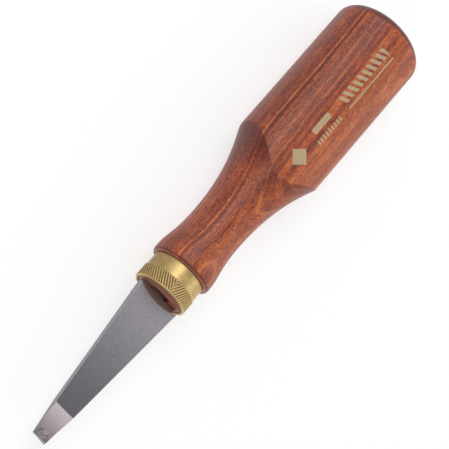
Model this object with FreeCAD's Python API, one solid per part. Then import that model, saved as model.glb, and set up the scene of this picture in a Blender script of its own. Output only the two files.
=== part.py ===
import FreeCAD, Part
import math
import os

# Edge beveler: a steel blade with its tang, a brass ferrule and a turned wooden handle.
# Millimetres. +X runs from the cutting tip towards the butt, +Z is up from the blade's flat face,
# +Y is the user's left. The tool lies on the flat underside of its grip, which is the plane Z = 0.

# Driving dimensions.
BLADE_REACH = 55.0          # tip to ferrule mouth
HANDLE_REACH = 113.2        # ferrule mouth to butt
GRIP_HALF_HEIGHT = 11.7     # tool axis to the flat underside of the grip
GRIP_HALF_WIDTH = 15.1

MOUTH_X = 0.5 * (BLADE_REACH - HANDLE_REACH)
AXIS_Z = GRIP_HALF_HEIGHT

CLEARANCE = 10.0            # how far a cutting shape stands past what it cuts
TOLERANCE = 1e-6

# Blade.
BLADE_THICK = 3.0
TIP_HALF_WIDTH = 2.5
TIP_SIDE_SHIFT = -0.25      # the tip is ground slightly to the right
TIP_OUT_OF_SQUARE = 0.35    # and its left corner is this much shorter
FACET_HALF_WIDTH = 3.6      # where the facet starts
MOUTH_HALF_WIDTH = 7.55
BLADE_EDGE_BREAK = 0.2
BLADE_YAW = 0.62            # degrees the blade is set off the handle's axis
BLADE_SIDE_SHIFT = -0.25
SHOULDER_CENTRE_X = -2.45   # deepest point of the hollow shoulder
SHOULDER_RADIUS = 19.0
SHOULDER_CHAMFER = 0.3
BOLSTER_START = -5.0        # unground step under the shoulder
BOLSTER_END = 0.0
BOLSTER_TOP = -1.0
BOLSTER_THICK = 1.2
BOLSTER_HALF = 6.9
FACET_START = -44.3
FACET_FRONT_HEIGHT = 0.9    # height of the front face below the facet
FACET_WHEEL_RADIUS = 40.0   # the facet is hollow ground
GROOVE_RADIUS = 2.4         # guide groove under the tip
GROOVE_DEPTH = 0.3
GROOVE_END = -43.0
CHIP_DISH_X = -53.15        # middle of the oval dish behind the cutting bar
CHIP_DISH_DEPTH = 0.35
CHIP_DISH_MOUTH = (1.15, 1.80)      # half its length and half its width on the facet
CHIP_DISH_FLOOR = (0.75, 1.35)      # and at its flat floor

# Tang.
TANG_START = -5.0
TANG_HALF = 2.6
TANG_TOP = -1.0
TANG_THICK = 1.4
TANG_STRAIGHT = 8.0
TANG_END = 42.0
TANG_END_HALF = 1.2
TANG_END_THICK = 1.0

# Ferrule.
FERRULE_LENGTH = 9.4
FERRULE_BORE = 7.9          # radius
KNURL_RADIUS = 9.0
KNURL_LENGTH = 4.6
KNURL_CHAMFER = 0.2         # along the tool, where the knurled band steps down
SMOOTH_RADIUS = 8.7
RIM_ROUND = 0.35

# Handle.
END_RECESS = 0.15           # wood end face behind the ferrule's rim
MOUTH_SLOT_HALF = 3.0
MOUTH_SLOT_LOW = -2.6
MOUTH_SLOT_HIGH = 2.2
MOUTH_SLOT_DEPTH = 5.0
BEAD_FACE_RADIUS = 9.45
BEAD_ROUND_END = (10.5, 10.15)
BEAD_ROUND_MID = (9.72, 9.87)
NECK_STATIONS = [           # crown of the bead, its underside, the waist, then the flare
    BEAD_ROUND_END, (12.0, 10.15), (18.0, 9.3), (27.5, 8.7), (40.0, 9.8), (50.0, 12.3), (60.2, 16.4),
]
TURNED_RADIUS = 16.4
BUTT_DOME_RADIUS = 26.5
BUTT_EDGE_ROUND = 3.5
GRIP_START = 34.0           # the grip's oval cut is clear of the neck from here on
GRIP_OVAL_HEIGHT = 11.8     # half-height of the oval before the flats are planed on it
GRIP_EXPONENT = 2.27        # 2 is a plain ellipse, and more is squarer
GRIP_OVAL_STEPS = 8         # spline points in a quarter of the oval


def vec(x, y, z):
    """A point given from the ferrule mouth on the tool's axis."""
    return FreeCAD.Vector(MOUTH_X + x, y, AXIS_Z + z)


def slab(points, z_low, height):
    """A flat outline in X and Y, raised from z_low."""
    wire = Part.makePolygon([vec(x, y, z_low) for x, y in points] + [vec(*points[0], z_low)])
    return Part.Face(wire).extrude(FreeCAD.Vector(0, 0, height))


def side_slab(points, half_width):
    """A side outline in X and Z, raised both ways along Y."""
    corners = [vec(x, -half_width, z) for x, z in points]
    wire = Part.makePolygon(corners + [corners[0]])
    return Part.Face(wire).extrude(FreeCAD.Vector(0, 2 * half_width, 0))


def turned(edges):
    """A closed half-profile turned about the tool's axis."""
    face = Part.Face(Part.Wire(edges))
    return face.revolve(vec(0, 0, 0), FreeCAD.Vector(1, 0, 0), 360)


def profile_point(x, r):
    return vec(x, 0, r)


def line(start, end):
    return Part.makeLine(profile_point(*start), profile_point(*end))


def arc(start, middle, end):
    return Part.Arc(profile_point(*start), profile_point(*middle), profile_point(*end)).toShape()


def blade_plate():
    """The tapered plate with lightly broken long edges."""
    outline = [
        (-BLADE_REACH + TIP_OUT_OF_SQUARE, TIP_SIDE_SHIFT + TIP_HALF_WIDTH),
        (FACET_START, FACET_HALF_WIDTH), (0, MOUTH_HALF_WIDTH), (0, -MOUTH_HALF_WIDTH),
        (FACET_START, -FACET_HALF_WIDTH), (-BLADE_REACH, TIP_SIDE_SHIFT - TIP_HALF_WIDTH),
    ]
    plate = slab(outline, -0.5 * BLADE_THICK, BLADE_THICK)
    long_edges = [e for e in plate.Edges if e.BoundBox.ZLength < TOLERANCE and e.BoundBox.XLength > CLEARANCE]
    return plate.makeChamfer(BLADE_EDGE_BREAK, long_edges)


def shoulder_cut():
    """The hollow, round-cornered shoulder at the ferrule end of the plate."""
    base = vec(SHOULDER_CENTRE_X + SHOULDER_RADIUS, 0, -BLADE_THICK)
    return Part.makeCylinder(SHOULDER_RADIUS, 2 * BLADE_THICK, base)


def chamfer_shoulder(plate):
    """The bright bevel along the shoulder's upper edge."""
    top = AXIS_Z + 0.5 * BLADE_THICK
    edges = [e for e in plate.Edges if isinstance(e.Curve, Part.Circle)
             and abs(e.Curve.Radius - SHOULDER_RADIUS) < TOLERANCE and abs(e.BoundBox.ZMin - top) < TOLERANCE]
    return plate.makeChamfer(SHOULDER_CHAMFER, edges)


def wheel_centre():
    """Middle, in X and Z, of the grinding wheel that leaves the hollow facet."""
    top = 0.5 * BLADE_THICK
    front = top - (BLADE_THICK - FACET_FRONT_HEIGHT)
    dx = BLADE_REACH + FACET_START
    dz = top - front
    chord = math.hypot(dx, dz)
    lift = math.sqrt(FACET_WHEEL_RADIUS ** 2 - (0.5 * chord) ** 2)
    return 0.5 * (FACET_START - BLADE_REACH) - lift * dz / chord, 0.5 * (top + front) + lift * dx / chord


def facet_cut():
    """Removes the top of the tip to a hollow-ground facet."""
    centre_x, centre_z = wheel_centre()
    return Part.makeCylinder(FACET_WHEEL_RADIUS, 2 * CLEARANCE, vec(centre_x, -CLEARANCE, centre_z),
                             FreeCAD.Vector(0, 1, 0))


def groove_cut():
    """The guide groove that runs under the tip, run out with a round end."""
    centre_z = -0.5 * BLADE_THICK - (GROOVE_RADIUS - GROOVE_DEPTH)
    front = -BLADE_REACH - CLEARANCE
    rod = Part.makeCylinder(GROOVE_RADIUS, GROOVE_END - front, vec(front, 0, centre_z),
                            FreeCAD.Vector(1, 0, 0))
    return rod.fuse(Part.makeSphere(GROOVE_RADIUS, vec(GROOVE_END, 0, centre_z)))


def oval_wire(half_length, half_width, z):
    """A level ellipse about the middle of the chip dish."""
    curve = Part.Ellipse(vec(CHIP_DISH_X, half_width, z), vec(CHIP_DISH_X + half_length, 0, z),
                         vec(CHIP_DISH_X, 0, z))
    return Part.Wire([curve.toShape()])


def chip_dish_cut():
    """The shallow oval dish behind the cutting bar, where the shaving lifts out: a flat floor and a
    sloping wall, carried on above the facet by as much again."""
    centre_x, centre_z = wheel_centre()
    surface_z = centre_z - math.sqrt(FACET_WHEEL_RADIUS ** 2 - (CHIP_DISH_X - centre_x) ** 2)
    above = [2 * mouth - floor for mouth, floor in zip(CHIP_DISH_MOUTH, CHIP_DISH_FLOOR)]
    floor = oval_wire(*CHIP_DISH_FLOOR, surface_z - CHIP_DISH_DEPTH)
    return Part.makeLoft([floor, oval_wire(*above, surface_z + CHIP_DISH_DEPTH)], True, True)


def bolster():
    """The step below the ground face, between the shoulder and the wood."""
    outline = [(BOLSTER_START, BOLSTER_HALF), (BOLSTER_END, BOLSTER_HALF),
               (BOLSTER_END, -BOLSTER_HALF), (BOLSTER_START, -BOLSTER_HALF)]
    return slab(outline, BOLSTER_TOP - BOLSTER_THICK, BOLSTER_THICK)


def tang():
    """The tang: straight through the mouth, then drawn out to a narrow end."""
    plan = [(TANG_START, TANG_HALF), (TANG_STRAIGHT, TANG_HALF), (TANG_END, TANG_END_HALF),
            (TANG_END, -TANG_END_HALF), (TANG_STRAIGHT, -TANG_HALF), (TANG_START, -TANG_HALF)]
    middle = TANG_TOP - 0.5 * TANG_THICK
    side = [(TANG_START, TANG_TOP), (TANG_STRAIGHT, TANG_TOP), (TANG_END, middle + 0.5 * TANG_END_THICK),
            (TANG_END, middle - 0.5 * TANG_END_THICK), (TANG_STRAIGHT, TANG_TOP - TANG_THICK),
            (TANG_START, TANG_TOP - TANG_THICK)]
    return slab(plan, -CLEARANCE, 2 * CLEARANCE).common(side_slab(side, CLEARANCE))


def blade():
    plate = chamfer_shoulder(blade_plate().cut(shoulder_cut()))
    plate = plate.cut(facet_cut()).cut(groove_cut()).cut(chip_dish_cut())
    plate = plate.fuse(bolster())
    plate.rotate(vec(0, 0, 0), FreeCAD.Vector(0, 0, 1), BLADE_YAW)
    plate.translate(FreeCAD.Vector(0, BLADE_SIDE_SHIFT, 0))
    return plate.fuse(tang()).removeSplitter()


def ferrule():
    """A collar with a raised, knurled front band and a smooth rear band."""
    k = RIM_ROUND
    s = k * (1 - math.sqrt(0.5))
    outer = [
        line((0, FERRULE_BORE), (0, KNURL_RADIUS - k)),
        arc((0, KNURL_RADIUS - k), (s, KNURL_RADIUS - s), (k, KNURL_RADIUS)),
        line((k, KNURL_RADIUS), (KNURL_LENGTH - KNURL_CHAMFER, KNURL_RADIUS)),
        line((KNURL_LENGTH - KNURL_CHAMFER, KNURL_RADIUS), (KNURL_LENGTH, SMOOTH_RADIUS)),
        line((KNURL_LENGTH, SMOOTH_RADIUS), (FERRULE_LENGTH, SMOOTH_RADIUS)),
        line((FERRULE_LENGTH, SMOOTH_RADIUS), (FERRULE_LENGTH, FERRULE_BORE)),
        line((FERRULE_LENGTH, FERRULE_BORE), (0, FERRULE_BORE)),
    ]
    return turned(outer)


def turned_handle():
    """Tenon, bead, neck, flare and domed butt as one turning."""
    dome_x = HANDLE_REACH - BUTT_DOME_RADIUS
    edge_x = dome_x + math.sqrt(BUTT_DOME_RADIUS ** 2 - TURNED_RADIUS ** 2)
    mid_r = 0.5 * TURNED_RADIUS
    mid_x = dome_x + math.sqrt(BUTT_DOME_RADIUS ** 2 - mid_r ** 2)
    neck = Part.BSplineCurve()
    neck.interpolate([profile_point(x, r) for x, r in NECK_STATIONS])
    edges = [
        line((END_RECESS, 0), (END_RECESS, FERRULE_BORE)),
        line((END_RECESS, FERRULE_BORE), (FERRULE_LENGTH, FERRULE_BORE)),
        line((FERRULE_LENGTH, FERRULE_BORE), (FERRULE_LENGTH, BEAD_FACE_RADIUS)),
        arc((FERRULE_LENGTH, BEAD_FACE_RADIUS), BEAD_ROUND_MID, BEAD_ROUND_END),
        neck.toShape(),
        line(NECK_STATIONS[-1], (edge_x, TURNED_RADIUS)),
        arc((edge_x, TURNED_RADIUS), (mid_x, mid_r), (HANDLE_REACH, 0)),
        line((HANDLE_REACH, 0), (END_RECESS, 0)),
    ]
    return turned(edges)


def oval_point(turn):
    """A point of the grip's section, where |y / half-width| and |z / height|, each raised to the
    exponent, add up to one."""
    y = GRIP_HALF_WIDTH * math.cos(turn) ** (2 / GRIP_EXPONENT)
    z = GRIP_OVAL_HEIGHT * abs(math.sin(turn)) ** (2 / GRIP_EXPONENT)
    return y, math.copysign(z, turn)


def grip_prism():
    """The oval the turning is cut down to, with flat strips planed along its top and underside."""
    flat_turn = math.asin((GRIP_HALF_HEIGHT / GRIP_OVAL_HEIGHT) ** (0.5 * GRIP_EXPONENT))
    turns = [flat_turn * i / GRIP_OVAL_STEPS for i in range(-GRIP_OVAL_STEPS, GRIP_OVAL_STEPS + 1)]
    flat_half = oval_point(flat_turn)[0]

    def flank(side):
        curve = Part.BSplineCurve()
        curve.interpolate([vec(GRIP_START, side * y, z) for y, z in map(oval_point, turns)])
        return curve.toShape()

    def flat(height):
        return Part.makeLine(vec(GRIP_START, -flat_half, height), vec(GRIP_START, flat_half, height))

    edges = [flat(GRIP_HALF_HEIGHT), flank(1), flat(-GRIP_HALF_HEIGHT), flank(-1)]
    face = Part.Face(Part.Wire(Part.__sortEdges__(edges)))
    return face.extrude(FreeCAD.Vector(HANDLE_REACH - GRIP_START + CLEARANCE, 0, 0))


def mouth_slot():
    """The open slot in the wood's end face, larger than the tang that enters it."""
    return Part.makeBox(MOUTH_SLOT_DEPTH, 2 * MOUTH_SLOT_HALF, MOUTH_SLOT_HIGH - MOUTH_SLOT_LOW,
                        vec(END_RECESS, -MOUTH_SLOT_HALF, MOUTH_SLOT_LOW))


def handle():
    turning = turned_handle()
    reach = TURNED_RADIUS + CLEARANCE
    front = turning.common(Part.makeBox(GRIP_START, 2 * reach, 2 * reach, vec(0, -reach, -reach)))
    rear = turning.common(grip_prism())
    dome_edges = [e for e in rear.Edges if e.BoundBox.XMin > MOUTH_X + HANDLE_REACH - TURNED_RADIUS]
    rear = rear.makeFillet(BUTT_EDGE_ROUND, dome_edges)
    return front.fuse(rear).removeSplitter().cut(mouth_slot()).cut(tang())


def main():
    os.makedirs("parts", exist_ok=True)
    blade().exportStep("parts/blade.step")
    ferrule().exportStep("parts/ferrule.step")
    handle().exportStep("parts/handle.step")


main()
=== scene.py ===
import bpy
import numpy as np
from mathutils import Matrix, Vector


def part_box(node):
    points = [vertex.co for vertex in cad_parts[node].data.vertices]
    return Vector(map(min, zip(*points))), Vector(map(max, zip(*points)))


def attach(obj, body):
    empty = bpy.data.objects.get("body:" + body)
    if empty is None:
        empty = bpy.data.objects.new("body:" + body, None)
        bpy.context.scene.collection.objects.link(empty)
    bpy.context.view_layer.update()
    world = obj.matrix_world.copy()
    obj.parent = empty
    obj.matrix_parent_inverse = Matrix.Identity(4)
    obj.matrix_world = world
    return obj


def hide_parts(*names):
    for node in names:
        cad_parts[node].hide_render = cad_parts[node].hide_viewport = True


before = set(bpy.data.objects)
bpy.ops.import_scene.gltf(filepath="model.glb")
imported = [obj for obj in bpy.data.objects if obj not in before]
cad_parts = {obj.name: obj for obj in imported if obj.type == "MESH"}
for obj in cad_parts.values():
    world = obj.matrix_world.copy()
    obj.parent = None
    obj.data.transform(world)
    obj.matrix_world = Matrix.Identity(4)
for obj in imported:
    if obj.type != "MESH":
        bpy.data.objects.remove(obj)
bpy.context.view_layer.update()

MM = 0.001

# The ferrule's mouth on the tool's axis: every shape below is worked out from here, in millimetres.
MOUTH_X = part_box("ferrule")[0].x / MM
AXIS_Z = 0.5 * (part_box("handle")[0].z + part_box("handle")[1].z) / MM
FERRULE_LENGTH = (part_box("ferrule")[1].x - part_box("ferrule")[0].x) / MM
KNURL_RADIUS = 0.5 * (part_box("ferrule")[1].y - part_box("ferrule")[0].y) / MM
BUTT_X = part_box("handle")[1].x / MM - MOUTH_X
TIP_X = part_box("blade")[0].x / MM - MOUTH_X


def place(x, y, z):
    """Millimetres from the ferrule's mouth to metres in the frame."""
    return np.stack([(x + MOUTH_X) * MM, y * MM, (z + AXIS_Z) * MM], axis=-1)


# ---------------------------------------------------------------- camera

CAMERA_PLACE = (-168.16, 192.26, 542.92)    # mm from the ferrule's mouth
CAMERA_FORWARD = (0.32469, -0.31735, -0.89099)
CAMERA_UP = (0.71621, 0.69777, 0.01247)
SENSOR_WIDTH, LENS = 36.0, 165.04


def add_camera():
    """A long lens above the tip end, turned so that the tool lies corner to corner."""
    data = bpy.data.cameras.new("camera")
    camera = bpy.data.objects.new("camera", data)
    bpy.context.scene.collection.objects.link(camera)
    forward = Vector(CAMERA_FORWARD).normalized()
    right = forward.cross(Vector(CAMERA_UP)).normalized()
    up = right.cross(forward)
    rotation = Matrix((right, up, -forward)).transposed().to_4x4()
    camera.matrix_world = Matrix.Translation(Vector(place(*CAMERA_PLACE))) @ rotation
    data.sensor_width = SENSOR_WIDTH
    data.lens = LENS
    data.clip_start = 0.05
    data.clip_end = 20.0
    bpy.context.scene.camera = camera


add_camera()


# ---------------------------------------------------------------- meshes

def grid_mesh(name, points, closed_u=True, closed_v=False, start_pole=False, end_pole=False, smooth=True):
    """A grid of points, rows along the part and columns around it, as one mesh. A closed direction joins
    its last line to its first, and a pole closes an end row with a fan to the row's mean point."""
    rows, cols, _ = points.shape
    verts = points.reshape(-1, 3)
    r = np.arange(rows if closed_v else rows - 1)
    c = np.arange(cols if closed_u else cols - 1)
    rr, cc = np.meshgrid(r, c, indexing="ij")
    r2, c2 = (rr + 1) % rows, (cc + 1) % cols
    quads = np.stack([rr * cols + cc, rr * cols + c2, r2 * cols + c2, r2 * cols + cc], axis=-1).reshape(-1, 4)
    loops = [quads.reshape(-1)]
    sizes = [np.full(len(quads), 4)]
    ring = np.arange(cols)
    for wanted, row, flip in ((start_pole, 0, True), (end_pole, rows - 1, False)):
        if wanted:
            pole = len(verts)
            verts = np.vstack([verts, points[row].mean(axis=0)])
            a, b = row * cols + ring, row * cols + (ring + 1) % cols
            fan = np.stack([b, a, np.full(cols, pole)] if flip else [a, b, np.full(cols, pole)], axis=-1)
            loops.append(fan.reshape(-1))
            sizes.append(np.full(cols, 3))
    loops, sizes = np.concatenate(loops), np.concatenate(sizes)
    mesh = bpy.data.meshes.new(name)
    mesh.vertices.add(len(verts))
    mesh.vertices.foreach_set("co", verts.astype(np.float32).ravel())
    mesh.loops.add(len(loops))
    mesh.loops.foreach_set("vertex_index", loops.astype(np.int32))
    mesh.polygons.add(len(sizes))
    mesh.polygons.foreach_set("loop_start", (np.cumsum(sizes) - sizes).astype(np.int32))
    mesh.update(calc_edges=True)
    mesh.polygons.foreach_set("use_smooth", np.full(len(sizes), smooth))
    mesh.validate()
    return mesh


def add_piece(name, mesh, replaced):
    """A piece that rides on the tool's one body and stands for the nodes it replaces."""
    piece = bpy.data.objects.new(name, mesh)
    bpy.context.scene.collection.objects.link(piece)
    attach(piece, "root")
    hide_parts(*replaced)
    return piece


def vertex_values(mesh, name, values):
    """One number for each point of a grid mesh, for its material to read."""
    layer = mesh.attributes.new(name, "FLOAT", "POINT")
    full = np.zeros(len(mesh.vertices), np.float32)
    full[:values.size] = values.ravel()
    layer.data.foreach_set("value", full)


def spline(stations, x):
    """Radius at x on the natural cubic curve through the stations: the curve's second derivatives at the
    stations solve one small linear system, and are zero at both ends."""
    px, py = np.array(stations, float).T
    gap = np.diff(px)
    count = len(px)
    inner = np.arange(1, count - 1)
    system = np.eye(count)
    system[inner, inner - 1] = gap[:-1]
    system[inner, inner] = 2 * (gap[:-1] + gap[1:])
    system[inner, inner + 1] = gap[1:]
    right = np.zeros(count)
    right[1:-1] = 6 * np.diff(np.diff(py) / gap)
    bend = np.linalg.solve(system, right)
    x = np.clip(x, px[0], px[-1])
    i = np.clip(np.searchsorted(px, x) - 1, 0, count - 2)
    ahead, behind = px[i + 1] - x, x - px[i]
    return ((bend[i] * ahead**3 + bend[i + 1] * behind**3) / (6 * gap[i])
            + (py[i] / gap[i] - bend[i] * gap[i] / 6) * ahead
            + (py[i + 1] / gap[i] - bend[i + 1] * gap[i] / 6) * behind)


def blend_min(a, b, width):
    """The lower of two radii, with the corner between them eased over the width."""
    h = np.clip(0.5 + 0.5 * (b - a) / width, 0, 1)
    return b + (a - b) * h - width * h * (1 - h)


# ---------------------------------------------------------------- handle

TENON_RADIUS = 7.85
END_RECESS = 0.15
SLOT_HALF = 3.0
SLOT_LOW, SLOT_HIGH = -2.6, 2.2
SLOT_DEPTH = 5.0
SLOT_SQUARENESS = 12        # 2 is round, and more is squarer
SLOT_ROWS = (1.0, 0.6, 0.25, 0.03)      # down the slot, as shares of its depth
SLOT_RIM = 0.03             # first row out on the end face, as a share of the way to the tenon's edge
TENON_EDGE = 0.1            # first row back along the tenon, from the end face
BEAD_FACE_EDGE = 0.3        # first row out on the bead's front face, from the tenon
BEAD_FACE_RADIUS = 9.45
END_ROWS, TENON_ROWS, BEAD_FACE_ROWS, BEAD_ROWS = 12, 5, 4, 9
NECK_STATIONS = [           # crown of the bead, its underside, the waist, then the flare
    (10.5, 10.15), (12.0, 10.15), (18.0, 9.3), (27.5, 8.7), (40.0, 9.8), (50.0, 12.3), (60.2, 16.4),
]
GRIP_FLAT_HEIGHT = 11.7
GRIP_OVAL_HEIGHT, GRIP_HALF_WIDTH = 11.8, 15.1
GRIP_EXPONENT = 2.27        # 2 is a plain ellipse, and more is squarer
GRIP_LEAN = 0.06            # the sanded wood lies this far inside the plain oval
GRIP_START = 34.0           # the oval is clear of the neck up to here
CREASE_WIDTH = 0.15         # how widely the crease between the flare and the oval is eased
BUTT_DOME_RADIUS = 26.5
BUTT_EASE = 3.6             # how widely the butt's edge is rounded over
BUTT_EASE_SHARE = 4         # the easing is never more than this many times the dome's radius there
DOME_START = 5.0            # the dome can limit the radius from this far past its middle
ROWS_ALONG = [(45.0, 90), (64.0, 110), (103.0, 60)]     # rows up to each station, closest at the crease
DOME_ROWS = 80
DOME_LAST_TURN = 0.02       # radians from the butt's pole to the last row
AROUND_HANDLE = 216


def oval_radius(angle):
    """Distance from the axis to the grip's section in a direction: the oval on which |y / half-width| and
    |z / height|, each raised to the exponent, add up to one, planed flat along its top and underside."""
    across, up = np.abs(np.cos(angle)), np.abs(np.sin(angle))
    total = (across / GRIP_HALF_WIDTH) ** GRIP_EXPONENT + (up / GRIP_OVAL_HEIGHT) ** GRIP_EXPONENT
    oval = total ** (-1 / GRIP_EXPONENT)
    return np.minimum(oval, GRIP_FLAT_HEIGHT / np.maximum(up, 0.01)) - GRIP_LEAN


def handle_mesh():
    """Rows run from the bottom of the tang slot out over the end face, back along the tenon, round the
    bead, through the neck and along the grip to the butt. In each row the radius is the turned radius,
    brought down to the grip's oval where that is smaller, then down to the butt's dome."""
    angle = np.linspace(0, 2 * np.pi, AROUND_HANDLE, endpoint=False)
    ring_y, ring_z = np.cos(angle), np.sin(angle)
    half_height = 0.5 * (SLOT_HIGH - SLOT_LOW)
    middle_z = 0.5 * (SLOT_HIGH + SLOT_LOW)
    total = ((np.abs(ring_y) / SLOT_HALF) ** SLOT_SQUARENESS
             + (np.abs(ring_z) / half_height) ** SLOT_SQUARENESS)
    slot_reach = total ** (-1 / SLOT_SQUARENESS)
    slot_y, slot_z = slot_reach * ring_y, slot_reach * ring_z + middle_z
    rows = []

    def row(x, y, z):
        rows.append((np.full_like(angle, x), y, z))

    def round_row(x, radius):
        row(x, radius * ring_y, radius * ring_z)

    for share in SLOT_ROWS:
        row(END_RECESS + share * SLOT_DEPTH, slot_y, slot_z)
    for share in np.linspace(SLOT_RIM, 1.0, END_ROWS):
        row(END_RECESS, slot_y + share * (TENON_RADIUS * ring_y - slot_y),
            slot_z + share * (TENON_RADIUS * ring_z - slot_z))
    for x in np.linspace(END_RECESS + TENON_EDGE, FERRULE_LENGTH, TENON_ROWS):
        round_row(x, TENON_RADIUS)
    for radius in np.linspace(TENON_RADIUS + BEAD_FACE_EDGE, BEAD_FACE_RADIUS, BEAD_FACE_ROWS):
        round_row(FERRULE_LENGTH, radius)
    bead_x, bead_radius = NECK_STATIONS[0]
    for turn in np.linspace(0, np.pi / 2, BEAD_ROWS)[1:-1]:
        round_row(bead_x - (bead_x - FERRULE_LENGTH) * np.cos(turn),
                  BEAD_FACE_RADIUS + (bead_radius - BEAD_FACE_RADIUS) * np.sin(turn))

    dome_x = BUTT_X - BUTT_DOME_RADIUS
    starts = [bead_x] + [end for end, _ in ROWS_ALONG[:-1]]
    along = [np.linspace(start, end, count, endpoint=False)
             for start, (end, count) in zip(starts, ROWS_ALONG)]
    first_turn = np.arccos((ROWS_ALONG[-1][0] - dome_x) / BUTT_DOME_RADIUS)
    along.append(dome_x + BUTT_DOME_RADIUS * np.cos(np.linspace(first_turn, DOME_LAST_TURN, DOME_ROWS)))
    oval = oval_radius(angle)
    for x in np.concatenate(along):
        radius = np.full_like(angle, float(spline(NECK_STATIONS, x)))
        if x > GRIP_START:
            radius = blend_min(radius, oval, CREASE_WIDTH)
        if x > dome_x + DOME_START:
            dome = np.sqrt(max(BUTT_DOME_RADIUS**2 - (x - dome_x) ** 2, 0))
            radius = blend_min(np.full_like(angle, dome), radius, min(BUTT_EASE, BUTT_EASE_SHARE * dome))
        round_row(x, radius)
    x, y, z = np.array(rows).transpose(1, 0, 2)
    return grid_mesh("handle_wood", place(x, y, z), start_pole=True, end_pole=True)


# ---------------------------------------------------------------- ferrule

FERRULE_BORE = 7.9
SMOOTH_RADIUS = 8.7
KNURL_LENGTH = 4.6
RIM_ROUND = 0.35
BORE_MOUTH = 0.05           # the bore opens this much at its rear end
BORE_ROWS = (5.0, 1.2)      # rows inside the bore, from the mouth
EDGE_EASE, EDGE_MIDDLE = 0.15, 0.04     # how far a turned edge is eased, and its middle off the corner
KNURL_STEP = 0.22           # the knurled band starts to ease down this far before its end
KNURL_STEP_CORNER = (0.12, 0.05)        # the eased corner's middle: before the end, and below the crests
SMOOTH_START = 0.1          # first row of the smooth band, after the step
RIM_ROWS, BAND_ROWS, SMOOTH_ROWS = 6, 72, 14
KNURL_COUNT = 62            # grooves of each hand around the band
KNURL_DEPTH = 0.24
KNURL_FROM, KNURL_TO = 0.38, 0.28       # plain metal left at the band's front and rear
KNURL_FADE = 0.15           # each groove runs out over this length
GROOVE_SLOPE, CREST_FLAT = 1.5, 0.35    # how steep the grooves are, and how much of a crest is left flat
KNURL_LEAN = np.radians(30)
# How deep each hand of groove is rolled, by the direction around the band in degrees.
ROLLED_AT = [0, 12, 44, 50, 56, 78, 86, 108, 116, 140, 170, 250, 330, 360]
ROLLED = {
    1: [0.9, 1.0, 1.0, 0.9, 1.0, 1.0, 0.35, 0.3, 0.65, 0.6, 0.6, 1.0, 0.8, 0.9],
    -1: [0.3, 0.3, 0.3, 0.8, 0.3, 0.35, 1.0, 1.0, 0.75, 0.6, 1.0, 0.4, 0.6, 0.3],
}
AROUND_FERRULE = KNURL_COUNT * 9
INSIDE_FADE = 0.3           # the bore's tarnished brown, with painted shade, reaches this far out from the bore


def ferrule_mesh():
    """A profile carried round the axis: bore, rounded rim, knurled band, step, smooth band, rear face.
    The knurled band's radius drops by the deeper of two sets of V grooves that wind in opposite
    directions, and how deep each set is rolled changes slowly around the band."""
    angle = np.linspace(0, 2 * np.pi, AROUND_FERRULE, endpoint=False)
    bend = np.linspace(0, np.pi / 2, RIM_ROWS)[1:]
    band_rows = np.linspace(RIM_ROUND, KNURL_LENGTH - KNURL_STEP, BAND_ROWS)[1:]
    smooth_rows = np.linspace(KNURL_LENGTH + SMOOTH_START, FERRULE_LENGTH - EDGE_EASE, SMOOTH_ROWS)
    profile = [(FERRULE_LENGTH, FERRULE_BORE + BORE_MOUTH)]
    profile += [(x, FERRULE_BORE) for x in (*BORE_ROWS, EDGE_EASE)]
    profile += [(EDGE_MIDDLE, FERRULE_BORE + EDGE_MIDDLE), (0.0, FERRULE_BORE + EDGE_EASE)]
    profile += [(0.0, KNURL_RADIUS - RIM_ROUND)]
    profile += [(RIM_ROUND * (1 - np.cos(b)), KNURL_RADIUS - RIM_ROUND * (1 - np.sin(b))) for b in bend]
    profile += [(x, KNURL_RADIUS) for x in band_rows]
    profile += [(KNURL_LENGTH - KNURL_STEP_CORNER[0], KNURL_RADIUS - KNURL_STEP_CORNER[1])]
    profile += [(KNURL_LENGTH, SMOOTH_RADIUS)]
    profile += [(x, SMOOTH_RADIUS) for x in smooth_rows]
    profile += [(FERRULE_LENGTH - EDGE_MIDDLE, SMOOTH_RADIUS - EDGE_MIDDLE)]
    profile += [(FERRULE_LENGTH, SMOOTH_RADIUS - EDGE_EASE)]
    profile_x, profile_radius = np.array(profile).T
    x, around = np.meshgrid(profile_x, angle, indexing="ij")
    radius = np.repeat(profile_radius[:, None], len(angle), axis=1)
    run_in = np.clip((x - KNURL_FROM) / KNURL_FADE, 0, 1)
    run_out = np.clip((KNURL_LENGTH - KNURL_TO - x) / KNURL_FADE, 0, 1)
    in_band = run_in * run_out * (radius > SMOOTH_RADIUS)
    turn = np.tan(KNURL_LEAN) * x / KNURL_RADIUS
    cut = np.zeros_like(x)
    for hand, rolled in ROLLED.items():
        phase = KNURL_COUNT * (around + hand * turn) / (2 * np.pi)
        ridge = np.abs(2 * (phase - np.floor(phase)) - 1)
        pressed = np.interp(np.degrees(around), ROLLED_AT, rolled)
        cut = np.maximum(cut, np.clip(GROOVE_SLOPE * (1 - ridge) - CREST_FLAT, 0, 1) * pressed)
    groove = cut * in_band
    grooved = radius - KNURL_DEPTH * groove
    points = place(x, grooved * np.cos(around), grooved * np.sin(around))
    mesh = grid_mesh("ferrule_brass", points, closed_v=True)
    vertex_values(mesh, "groove", groove)
    vertex_values(mesh, "inside", np.clip((FERRULE_BORE + INSIDE_FADE - radius) / INSIDE_FADE, 0, 1))
    return mesh


# ---------------------------------------------------------------- materials

def srgb(code):
    """An sRGB hex colour as linear red, green, blue and alpha."""
    c = np.array([int(code[i:i + 2], 16) for i in (1, 3, 5)]) / 255
    linear = np.where(c <= 0.04045, c / 12.92, ((c + 0.055) / 1.055) ** 2.4)
    return (*linear, 1.0)


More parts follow.
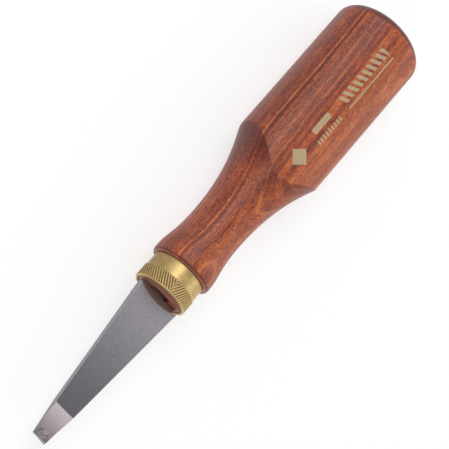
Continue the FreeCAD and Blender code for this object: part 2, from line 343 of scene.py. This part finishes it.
def add(tree, kind, inputs=None, output=0, **settings):
    """One node with its settings, and each input either linked from a socket or set to a value. Gives back
    the output that is asked for."""
    node = tree.nodes.new(kind)
    for name, value in settings.items():
        setattr(node, name, value)
    for name, value in (inputs or {}).items():
        if isinstance(value, bpy.types.NodeSocket):
            tree.links.new(value, node.inputs[name])
        else:
            node.inputs[name].default_value = value
    return node.outputs[output] if node.outputs else None


def new_material(name):
    """A material with one shader joined to its output."""
    material = bpy.data.materials.new(name)
    material.use_nodes = True
    tree = material.node_tree
    tree.nodes.clear()
    surface = add(tree, "ShaderNodeBsdfPrincipled")
    add(tree, "ShaderNodeOutputMaterial", {"Surface": surface})
    return material, tree, surface.node


def surface_position(tree):
    """Position on the piece in millimetres, as one vector and as its three parts."""
    where = add(tree, "ShaderNodeTexCoord", output="Object")
    mm = add(tree, "ShaderNodeVectorMath", {0: where, "Scale": 1 / MM}, operation="SCALE")
    return mm, add(tree, "ShaderNodeSeparateXYZ", {0: mm}).node.outputs


def surface_direction(tree):
    """The way the piece's surface faces, as three parts."""
    facing = add(tree, "ShaderNodeTexCoord", output="Normal")
    return add(tree, "ShaderNodeSeparateXYZ", {0: facing}).node.outputs


# The printed marks on the grip's upper side, in millimetres from the mouth and from the middle: a solid
# diamond, a short bar, a row of ticks, a band of slanted bars and a thin rule. None of them is lettering.
PRINT_BOXES = [           # low x, high x, low y, high y, pitch of its bars or 0, slant
    (65.8, 73.6, -0.35, 1.6, 0.0, 0.0),
    (64.0, 75.7, -3.7, -2.1, 1.3, 0.0),
    (79.4, 101.6, -1.4, 1.9, 2.3, 0.5),
    (79.8, 101.8, -3.3, -2.75, 0.0, 0.0),
]
PRINT_DIAMOND = (57.2, -0.93, 3.3)      # middle x, middle y, half its width
BAR_SHARE = 0.28                        # half a bar's width, as a share of the pitch


def printed_marks(tree, along, across):
    """One where the ink lies and zero elsewhere: a box is where the distances from its middle are both
    within half its size, a pitch cuts it into slanted bars, and the diamond is a box on the diagonals."""
    ink = 0.0
    for low_x, high_x, low_y, high_y, pitch, slant in PRINT_BOXES:
        in_x = add(tree, "ShaderNodeMath", {0: along, 1: 0.5 * (low_x + high_x), 2: 0.5 * (high_x - low_x)},
                   operation="COMPARE")
        in_y = add(tree, "ShaderNodeMath", {0: across, 1: 0.5 * (low_y + high_y), 2: 0.5 * (high_y - low_y)},
                   operation="COMPARE")
        mark = add(tree, "ShaderNodeMath", {0: in_x, 1: in_y}, operation="MULTIPLY")
        if pitch:
            leaning = add(tree, "ShaderNodeMath", {0: across, 1: slant, 2: along}, operation="MULTIPLY_ADD")
            wave = add(tree, "ShaderNodeMath", {0: leaning, 1: 0.5 * pitch}, operation="PINGPONG")
            bars = add(tree, "ShaderNodeMath", {0: wave, 1: BAR_SHARE * pitch}, operation="LESS_THAN")
            mark = add(tree, "ShaderNodeMath", {0: mark, 1: bars}, operation="MULTIPLY")
        ink = add(tree, "ShaderNodeMath", {0: ink, 1: mark}, operation="MAXIMUM")
    mid_x, mid_y, half = PRINT_DIAMOND
    rising = add(tree, "ShaderNodeMath", {0: along, 1: across}, operation="ADD")
    falling = add(tree, "ShaderNodeMath", {0: along, 1: across}, operation="SUBTRACT")
    in_rising = add(tree, "ShaderNodeMath", {0: rising, 1: mid_x + mid_y, 2: half}, operation="COMPARE")
    in_falling = add(tree, "ShaderNodeMath", {0: falling, 1: mid_x - mid_y, 2: half}, operation="COMPARE")
    diamond = add(tree, "ShaderNodeMath", {0: in_rising, 1: in_falling}, operation="MULTIPLY")
    return add(tree, "ShaderNodeMath", {0: ink, 1: diamond}, operation="MAXIMUM")


RING_AXIS = (0.0, 26.2, AXIS_Z - 56.1)      # a point on the tree's own middle line, mm
RING_RUN_OUT = 0.018                # how far the rings drift out for each mm along the handle
RING_WANDER = 1.5                   # how far the slow wander bends the rings, mm
RING_WIDTH = 0.75                   # one year's growth, mm
RING_WEIGHT = 0.75
YEAR_LINE_HALF = 0.25               # half the width of a pale line between two years, mm
YEAR_LINES = [(1.6, 0.13), (4.8, 0.13)]     # mm between lines, and how much paler: every third stands out
# Each pattern along the grain: length and width in mm, detail, weight in the wood's tone. Beech's own
# pores are finer than these streaks, which are as wide as they need to be to show.
GRAIN = {
    "wander": (42.0, 13.0, 3.0, 0.0),
    "broad": (38.0, 4.5, 3.0, 0.6),
    "streak": (9.0, 0.30, 2.0, 0.55),
    "mottle": (6.0, 2.2, 3.0, 0.45),
    "fleck": (1.6, 0.22, 1.0, 0.0),
    "fine": (0.9, 0.20, 1.0, 1.1),
}
TONE_RIGHT_LIT, TONE_LEFT_SHADED = 0.52, 0.24  # painted shade: the wood's tone is painted darker towards the tool's left side
# Next line: the print's ink, and the faced end's colour painted pale as light in the shade of the ferrule's
# mouth.
INK, FACED_WOOD_LIT = "#baa682", "#a57a70"
WOOD_ROUGHNESS = (0.36, 0.46)
OIL_IOR = 1.5
PORE_DEPTH, PORE_STRENGTH = 0.08, 0.10      # mm, and how much of it shades the surface
STAIN = [(0.0, "#5b2219"), (0.28, "#8b3b22"), (0.5, "#ad5226"), (0.72, "#c66a35"), (1.0, "#dc8748")]


def stained_beech():
    """Beech, turned and sanded, stained red-brown and oiled: a satin wood whose growth rings show as tight
    lines where the surface cuts across them and as broad figure where it runs along them, with fine
    streaks and short dark ray flecks along the grain. End grain has drunk more of the stain, and the butt's
    end grain carries painted shade as well. The end faced off inside the ferrule is painted paler, as painted
    light in its shade, and the tone is painted darker towards the tool's left side as shade."""
    material, tree, shader = new_material("stained_beech_oiled")
    mm, part = surface_position(tree)
    lengthwise = surface_direction(tree)["X"]
    slope = add(tree, "ShaderNodeMath", {0: lengthwise}, operation="ABSOLUTE")
    along = add(tree, "ShaderNodeMath", {0: part["X"], 1: MOUTH_X}, operation="SUBTRACT")

    grain = {}
    for name, (length, width, detail, _) in GRAIN.items():
        sized = add(tree, "ShaderNodeMapping", {"Vector": mm, "Scale": (1 / length, 1 / width, 1 / width)})
        grain[name] = add(tree, "ShaderNodeTexNoise", {"Vector": sized, "Scale": 1.0, "Detail": detail})

    # Growth rings: the distance from the tree's middle line, bent by a slow wander.
    out = add(tree, "ShaderNodeVectorMath", {0: mm, 1: RING_AXIS}, operation="SUBTRACT")
    out = add(tree, "ShaderNodeVectorMath", {0: out, 1: (0.0, 1.0, 1.0)}, operation="MULTIPLY")
    distance = add(tree, "ShaderNodeVectorMath", {0: out}, "Value", operation="LENGTH")
    distance = add(tree, "ShaderNodeMath", {0: grain["wander"], 1: RING_WANDER, 2: distance},
                   operation="MULTIPLY_ADD")
    distance = add(tree, "ShaderNodeMath", {0: part["X"], 1: RING_RUN_OUT, 2: distance},
                   operation="MULTIPLY_ADD")
    years = add(tree, "ShaderNodeMath", {0: distance, 1: RING_WIDTH}, operation="DIVIDE")
    rings = add(tree, "ShaderNodeTexNoise", {"W": years, "Scale": 1.0, "Detail": 1.0},
                noise_dimensions="1D")
    lost = add(tree, "ShaderNodeMapRange", {"Value": slope, "From Min": 0.05, "From Max": 0.30,
                                            "To Max": 0.75})
    rings = add(tree, "ShaderNodeMix", {0: lost, 2: rings, 3: 0.5})

    # The tone of the wood: each pattern lifts it above its own middle value or drops it below.
    middle = 0.5 * (RING_WEIGHT + sum(weight for *_, weight in GRAIN.values()))
    # Painted shade: the tone starts out darker towards the tool's left side.
    tone = add(tree, "ShaderNodeMapRange", {"Value": part["Y"], "From Min": -9.0, "From Max": 14.0,
                                            "To Min": TONE_RIGHT_LIT - middle, "To Max": TONE_LEFT_SHADED - middle})
    tone = add(tree, "ShaderNodeMath", {0: rings, 1: RING_WEIGHT, 2: tone}, operation="MULTIPLY_ADD")
    for name, (*_, weight) in GRAIN.items():
        if weight:
            tone = add(tree, "ShaderNodeMath", {0: grain[name], 1: weight, 2: tone},
                       operation="MULTIPLY_ADD")
    for spacing, paler in YEAR_LINES:
        line = add(tree, "ShaderNodeMath", {0: distance, 1: 0.5 * spacing}, operation="PINGPONG")
        line = add(tree, "ShaderNodeMapRange", {"Value": line, "From Min": YEAR_LINE_HALF, "From Max": 0.0,
                                                "To Max": paler})
        tone = add(tree, "ShaderNodeMath", {0: tone, 1: line}, operation="ADD")

    # What darkens the wood, or with a minus pales it, painted shade and painted light among it: the reading,
    # its start, where it is full, how much.
    darkened = [
        (grain["fleck"], 0.45, 0.30, 0.38),         # ray flecks
        (slope, 0.16, 0.38, 0.27),                  # end grain
        (lengthwise, 0.1, 0.5, 0.16),               # the butt's end grain, with painted shade on the butt as well
        (lengthwise, -0.6, -1.0, -0.42),            # the end faced off inside the ferrule, painted paler as light in its shade
    ]
    for reading, start, full, most in darkened:
        darker = add(tree, "ShaderNodeMapRange", {"Value": reading, "From Min": start, "From Max": full,
                                                  "To Max": most})
        tone = add(tree, "ShaderNodeMath", {0: tone, 1: darker}, operation="SUBTRACT")
    wood = add(tree, "ShaderNodeValToRGB", {"Fac": tone})
    stops = wood.node.color_ramp.elements
    stops[0].color, stops[1].color = srgb(STAIN[0][1]), srgb(STAIN[-1][1])
    for position, colour in STAIN[1:-1]:
        stops.new(position).color = srgb(colour)

    # Painted light: the end face inside the ferrule is painted paler, lifting the shade of its recess.
    faced = add(tree, "ShaderNodeMapRange", {"Value": lengthwise, "From Min": -0.80, "From Max": -0.95,
                                             "To Max": 0.6})
    wood = add(tree, "ShaderNodeMix", {0: faced, 6: wood, 7: srgb(FACED_WOOD_LIT)}, 2, data_type="RGBA")
    ink = printed_marks(tree, along, part["Y"])
    upper = add(tree, "ShaderNodeMath", {0: part["Z"], 1: AXIS_Z}, operation="GREATER_THAN")
    worn = add(tree, "ShaderNodeMapRange", {"Value": grain["streak"], "From Min": 0.30, "From Max": 0.55,
                                            "To Min": 0.65, "To Max": 0.95})
    for share in (upper, worn):
        ink = add(tree, "ShaderNodeMath", {0: ink, 1: share}, operation="MULTIPLY")
    colour = add(tree, "ShaderNodeMix", {0: ink, 6: wood, 7: srgb(INK)}, 2, data_type="RGBA")
    tree.links.new(colour, shader.inputs["Base Color"])

    height = 0.0
    for name in ("fleck", "streak", "fine"):
        height = add(tree, "ShaderNodeMath", {0: height, 1: grain[name]}, operation="ADD")
    bump = add(tree, "ShaderNodeBump", {"Height": height, "Strength": PORE_STRENGTH,
                                        "Distance": PORE_DEPTH * MM})
    tree.links.new(bump, shader.inputs["Normal"])
    rough = add(tree, "ShaderNodeMapRange", {"Value": grain["mottle"], "From Min": 0.3, "From Max": 0.7,
                                             "To Min": WOOD_ROUGHNESS[0], "To Max": WOOD_ROUGHNESS[1]})
    tree.links.new(rough, shader.inputs["Roughness"])
    shader.inputs["IOR"].default_value = OIL_IOR
    return material


# Next line: the brass, its cloudier patches, and the knurled band painted paler as a sheen for its glints.
BRASS, BRASS_CLOUD, BRASS_BAND_SHEEN = "#cfb47b", "#bea26d", "#dcc08a"
# Next line: painted shade for the ferrule's left side, then the brown of tarnished grooves and of painted
# shade inside the bore.
BRASS_SHADED_LEFT, TARNISH_AND_SHADE = "#7d6646", "#5a4429"
LATHE_RINGS = 6.0           # to each mm along the tool


def turned_brass():
    """Brass, turned and rolled with a knurl, then handled: a soft yellow metal whose gloss shows the lathe's
    rings, painted paler on the knurled band as a sheen for its glints, brown where tarnished in the grooves,
    and inside the bore brown where tarnished and darkened with painted shade. Its left side is painted darker
    than the rest, as painted shade for the dim surround it reflects."""
    material, tree, shader = new_material("turned_brass_knurled")
    mm, part = surface_position(tree)
    groove = add(tree, "ShaderNodeAttribute", output="Fac", attribute_name="groove")
    inside = add(tree, "ShaderNodeAttribute", output="Fac", attribute_name="inside")
    cloud = add(tree, "ShaderNodeTexNoise", {"Vector": mm, "Scale": 0.5, "Detail": 3.0})
    turned = add(tree, "ShaderNodeMapping", {"Vector": mm, "Scale": (LATHE_RINGS, 0.3, 0.3)})
    lathe = add(tree, "ShaderNodeTexNoise", {"Vector": turned, "Scale": 1.0, "Detail": 2.0})
    in_groove = add(tree, "ShaderNodeMath", {0: groove, 1: 0.8}, operation="MULTIPLY")
    # Brown in the grooves is tarnished brass; inside the bore it is tarnished brass and painted shade in the
    # recess.
    tarnish_and_shade = add(tree, "ShaderNodeMath", {0: in_groove, 1: inside}, operation="MAXIMUM")

    clouded = add(tree, "ShaderNodeMapRange", {"Value": cloud, "From Min": 0.35, "From Max": 0.65})
    colour = add(tree, "ShaderNodeMix", {0: clouded, 6: srgb(BRASS), 7: srgb(BRASS_CLOUD)}, 2,
                 data_type="RGBA")
    # Painted sheen: the knurled band is painted paler, standing in for the glints on its crests.
    knurl_end = MOUTH_X + KNURL_LENGTH
    band = add(tree, "ShaderNodeMapRange", {"Value": part["X"], "From Min": knurl_end + 0.05,
                                            "From Max": knurl_end - 0.05, "To Max": 0.45})
    colour = add(tree, "ShaderNodeMix", {0: band, 6: colour, 7: srgb(BRASS_BAND_SHEEN)}, 2, data_type="RGBA")
    # Painted shade: the ferrule's left side is painted darker.
    shaded_left = add(tree, "ShaderNodeMapRange", {"Value": surface_direction(tree)["Y"], "From Min": 0.55,
                                              "From Max": 0.98, "To Max": 0.65})
    colour = add(tree, "ShaderNodeMix", {0: shaded_left, 6: colour, 7: srgb(BRASS_SHADED_LEFT)}, 2, data_type="RGBA")
    colour = add(tree, "ShaderNodeMix", {0: tarnish_and_shade, 6: colour, 7: srgb(TARNISH_AND_SHADE)}, 2, data_type="RGBA")
    tree.links.new(colour, shader.inputs["Base Color"])
    rough = add(tree, "ShaderNodeMapRange", {"Value": tarnish_and_shade, "To Min": 0.33, "To Max": 0.6})
    rough = add(tree, "ShaderNodeMath", {0: lathe, 1: 0.10, 2: rough}, operation="MULTIPLY_ADD")
    tree.links.new(rough, shader.inputs["Roughness"])
    shader.inputs["Metallic"].default_value = 1.0
    return material


FACET_START = -44.3         # the hollow facet runs from here to the tip
CUTTING_BAR = 0.45          # strip along the tip, polished on a stone and painted with an edge highlight, mm
SCALE_START = -5.3          # the unground step, from here towards the handle
SCALE_TOP = -0.9            # and below this height from the axis
# Next line: the ground face painted from darker at the tip to paler at the shoulder as a painted reflection,
# and the sides' own grey as a painted reflection too.
STEEL_SHADED_AT_TIP, STEEL_LIT_AT_SHOULDER, STEEL_SIDE_LIT = "#716f75", "#aaa6ad", "#9a979e"
# Next line: the facet's painted highlight at the tip and at its start, then the strip at the tip with a
# painted edge highlight.
STONED_SHEEN_AT_TIP, STONED_SHEEN, STONED_BAR_HIGHLIGHT = "#7d7779", "#fbecee", "#c4bebf"
# Next line: scale painted lighter than its shade, and the shoulder's edge colour, a painted highlight.
STEEL_SCALE_LIT, EDGE_HIGHLIGHT_COLOUR = "#a88a83", "#b8a49e"
STEEL_SHADE = 0.66          # the shade that the patterns below are added to
SPECKS, CLOUD, SCRATCH = 0.42, 0.12, 0.14
# Grinding lines to each mm, along and across the blade. Real ones are finer, and these are as coarse as
# they need to be to show.
SCRATCH_SCALE = (0.4, 3.0, 3.0)


def ground_steel():
    """Tool steel, surface ground to a matte speckled grey with faint lines along the blade, painted paler
    towards the shoulder as a painted reflection, with its sides painted their own grey as a reflection too,
    and its hollow facet polished on a stone, with a painted highlight that is brightest at the facet's start
    and fades towards the tip. The unground step behind the shoulder is warm with scale and painted lighter
    than its shade, and the shoulder's broken edge carries a painted highlight."""
    material, tree, shader = new_material("ground_tool_steel")
    mm, part = surface_position(tree)
    facing = surface_direction(tree)
    along = add(tree, "ShaderNodeMath", {0: part["X"], 1: MOUTH_X}, operation="SUBTRACT")
    upward = add(tree, "ShaderNodeMapRange", {"Value": facing["Z"], "From Min": 0.4, "From Max": 0.7})
    at_tip = add(tree, "ShaderNodeMath", {0: along, 1: FACET_START}, operation="LESS_THAN")
    facet = add(tree, "ShaderNodeMath", {0: upward, 1: at_tip}, operation="MULTIPLY")

    # Painted reflection: the grey is painted paler from the tip towards the shoulder.
    root = add(tree, "ShaderNodeMapRange", {"Value": along, "From Min": FACET_START, "From Max": -3.0})
    root = add(tree, "ShaderNodeMath", {0: root, 1: 1.4}, operation="POWER")
    grey = add(tree, "ShaderNodeMix", {0: root, 6: srgb(STEEL_SHADED_AT_TIP), 7: srgb(STEEL_LIT_AT_SHOULDER)}, 2,
               data_type="RGBA")
    # Painted reflection: the sides get their own grey, standing in for the floor they reflect.
    side = add(tree, "ShaderNodeMapRange", {"Value": facing["Z"], "From Min": 0.6, "From Max": 0.3})
    grey = add(tree, "ShaderNodeMix", {0: side, 6: grey, 7: srgb(STEEL_SIDE_LIT)}, 2, data_type="RGBA")
    # Painted highlight: the facet is painted near white at its start and fades to grey towards the tip.
    up_facet = add(tree, "ShaderNodeMapRange", {"Value": along, "From Min": TIP_X, "From Max": FACET_START})
    stoned_sheen = add(tree, "ShaderNodeMix", {0: up_facet, 6: srgb(STONED_SHEEN_AT_TIP), 7: srgb(STONED_SHEEN)}, 2,
                 data_type="RGBA")
    # Painted highlight along the stone-polished strip at the tip.
    bar = add(tree, "ShaderNodeMath", {0: along, 1: TIP_X + CUTTING_BAR}, operation="LESS_THAN")
    stoned_sheen = add(tree, "ShaderNodeMix", {0: bar, 6: stoned_sheen, 7: srgb(STONED_BAR_HIGHLIGHT)}, 2, data_type="RGBA")
    colour = add(tree, "ShaderNodeMix", {0: facet, 6: grey, 7: stoned_sheen}, 2, data_type="RGBA")

    # Scale on the unground step, painted lighter than the shade it lies in under the ferrule.
    behind = add(tree, "ShaderNodeMath", {0: along, 1: SCALE_START}, operation="GREATER_THAN")
    below = add(tree, "ShaderNodeMath", {0: part["Z"], 1: AXIS_Z + SCALE_TOP}, operation="LESS_THAN")
    scale = add(tree, "ShaderNodeMath", {0: behind, 1: below}, operation="MULTIPLY")
    colour = add(tree, "ShaderNodeMix", {0: scale, 6: colour, 7: srgb(STEEL_SCALE_LIT)}, 2, data_type="RGBA")
    # Painted highlight: the shoulder's edge, tilted up and back, is painted pale.
    tilted_up = add(tree, "ShaderNodeMapRange", {"Value": facing["Z"], "From Min": 0.45, "From Max": 0.6})
    tilted_back = add(tree, "ShaderNodeMapRange", {"Value": facing["X"], "From Min": 0.25, "From Max": 0.4})
    edge_highlight = add(tree, "ShaderNodeMath", {0: tilted_up, 1: tilted_back}, operation="MULTIPLY")
    colour = add(tree, "ShaderNodeMix", {0: edge_highlight, 6: colour, 7: srgb(EDGE_HIGHLIGHT_COLOUR)}, 2, data_type="RGBA")

    brushed = add(tree, "ShaderNodeMapping", {"Vector": mm, "Scale": SCRATCH_SCALE})
    specks = add(tree, "ShaderNodeTexNoise", {"Vector": mm, "Scale": 1.5, "Detail": 4.0})
    cloud = add(tree, "ShaderNodeTexNoise", {"Vector": mm, "Scale": 0.5, "Detail": 2.0})
    scratch = add(tree, "ShaderNodeTexNoise", {"Vector": brushed, "Scale": 1.0, "Detail": 3.0})
    shade = STEEL_SHADE
    for pattern, weight in ((specks, SPECKS), (cloud, CLOUD), (scratch, SCRATCH)):
        shade = add(tree, "ShaderNodeMath", {0: pattern, 1: weight, 2: shade}, operation="MULTIPLY_ADD")
    colour = add(tree, "ShaderNodeVectorMath", {0: colour, "Scale": shade}, operation="SCALE")
    tree.links.new(colour, shader.inputs["Base Color"])
    rough = add(tree, "ShaderNodeMapRange", {"Value": facet, "To Min": 0.55, "To Max": 0.36})
    tree.links.new(rough, shader.inputs["Roughness"])
    # The painted edge highlight is also less metallic.
    metal = add(tree, "ShaderNodeMapRange", {"Value": edge_highlight, "To Min": 1.0, "To Max": 0.3})
    tree.links.new(metal, shader.inputs["Metallic"])
    return material


PAPER, PAPER_GLOW = "#a0a0a0", 0.68


def matte_floor():
    """Seamless studio paper lit from below as well: pale, matte and even."""
    material, _, shader = new_material("studio_paper")
    shader.inputs["Base Color"].default_value = srgb(PAPER)
    shader.inputs["Roughness"].default_value = 0.95
    shader.inputs["Emission Color"].default_value = srgb("#ffffff")
    shader.inputs["Emission Strength"].default_value = PAPER_GLOW
    return material


# ---------------------------------------------------------------- build

FLOOR_REACH = 3.0           # m from the middle to each side of the floor
LIGHT_REACH = 0.9           # m from the middle to each light


def clad(obj, material):
    """Give a piece its one material."""
    obj.data.materials.clear()
    obj.data.materials.append(material)


handle = add_piece("handle_wood", handle_mesh(), ["handle"])
clad(handle, stained_beech())
ferrule = add_piece("ferrule_brass", ferrule_mesh(), ["ferrule"])
clad(ferrule, turned_brass())
clad(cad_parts["blade"], ground_steel())


def add_floor():
    """One wide square at the height the tool lies on."""
    x, y = np.meshgrid([-FLOOR_REACH, FLOOR_REACH], [-FLOOR_REACH, FLOOR_REACH])
    mesh = grid_mesh("floor", np.stack([x, y, np.zeros_like(x)], axis=-1), closed_u=False, smooth=False)
    floor = bpy.data.objects.new("floor", mesh)
    bpy.context.scene.collection.objects.link(floor)
    clad(floor, matte_floor())


def add_light(name, direction, size, radiance):
    """A softbox that faces the object from a direction, its first side along the tool, as bright as the
    radiance it sends."""
    data = bpy.data.lights.new(name, "AREA")
    data.shape = "RECTANGLE"
    data.size, data.size_y = size
    data.energy = radiance * np.pi * size[0] * size[1]
    lamp = bpy.data.objects.new(name, data)
    bpy.context.scene.collection.objects.link(lamp)
    back = Vector(direction).normalized()
    side = (Vector((1, 0, 0)) - back * back.x).normalized()
    turn = Matrix((side, back.cross(side), back)).transposed().to_4x4()
    lamp.matrix_world = Matrix.Translation(back * LIGHT_REACH) @ turn


SURROUND_LEAN = (0.50, -0.50, 0.45)     # the way the surround brightens: butt, right and up
SURROUND_DARK, SURROUND_BRIGHT = 0.20, 0.80
SURROUND_SPREAD = 0.7                   # it is darkest and brightest this far along that way


def add_studio():
    """An even surround, darker towards the tip and brighter towards the butt and the right."""
    world = bpy.data.worlds.new("studio")
    bpy.context.scene.world = world
    world.use_nodes = True
    tree = world.node_tree
    tree.nodes.clear()
    direction = add(tree, "ShaderNodeTexCoord", output="Generated")
    lean = add(tree, "ShaderNodeVectorMath", {0: direction, 1: SURROUND_LEAN}, "Value",
               operation="DOT_PRODUCT")
    level = add(tree, "ShaderNodeMapRange", {"Value": lean, "From Min": -SURROUND_SPREAD,
                                             "From Max": SURROUND_SPREAD, "To Min": SURROUND_DARK,
                                             "To Max": SURROUND_BRIGHT})
    background = add(tree, "ShaderNodeBackground", {"Strength": level})
    add(tree, "ShaderNodeOutputWorld", {"Surface": background})


add_floor()
add_light("key", direction=(0.32, 0.36, 0.88), size=(1.1, 0.44), radiance=2.05)
add_light("fill", direction=(0.55, -0.72, 0.42), size=(0.8, 0.6), radiance=0.95)
add_light("left", direction=(0.35, 0.85, 0.40), size=(0.9, 0.6), radiance=0.55)
add_light("front", direction=(-0.85, 0.10, 0.35), size=(0.5, 0.8), radiance=0.9)
add_studio()
bpy.context.scene.view_settings.view_transform = "Standard"
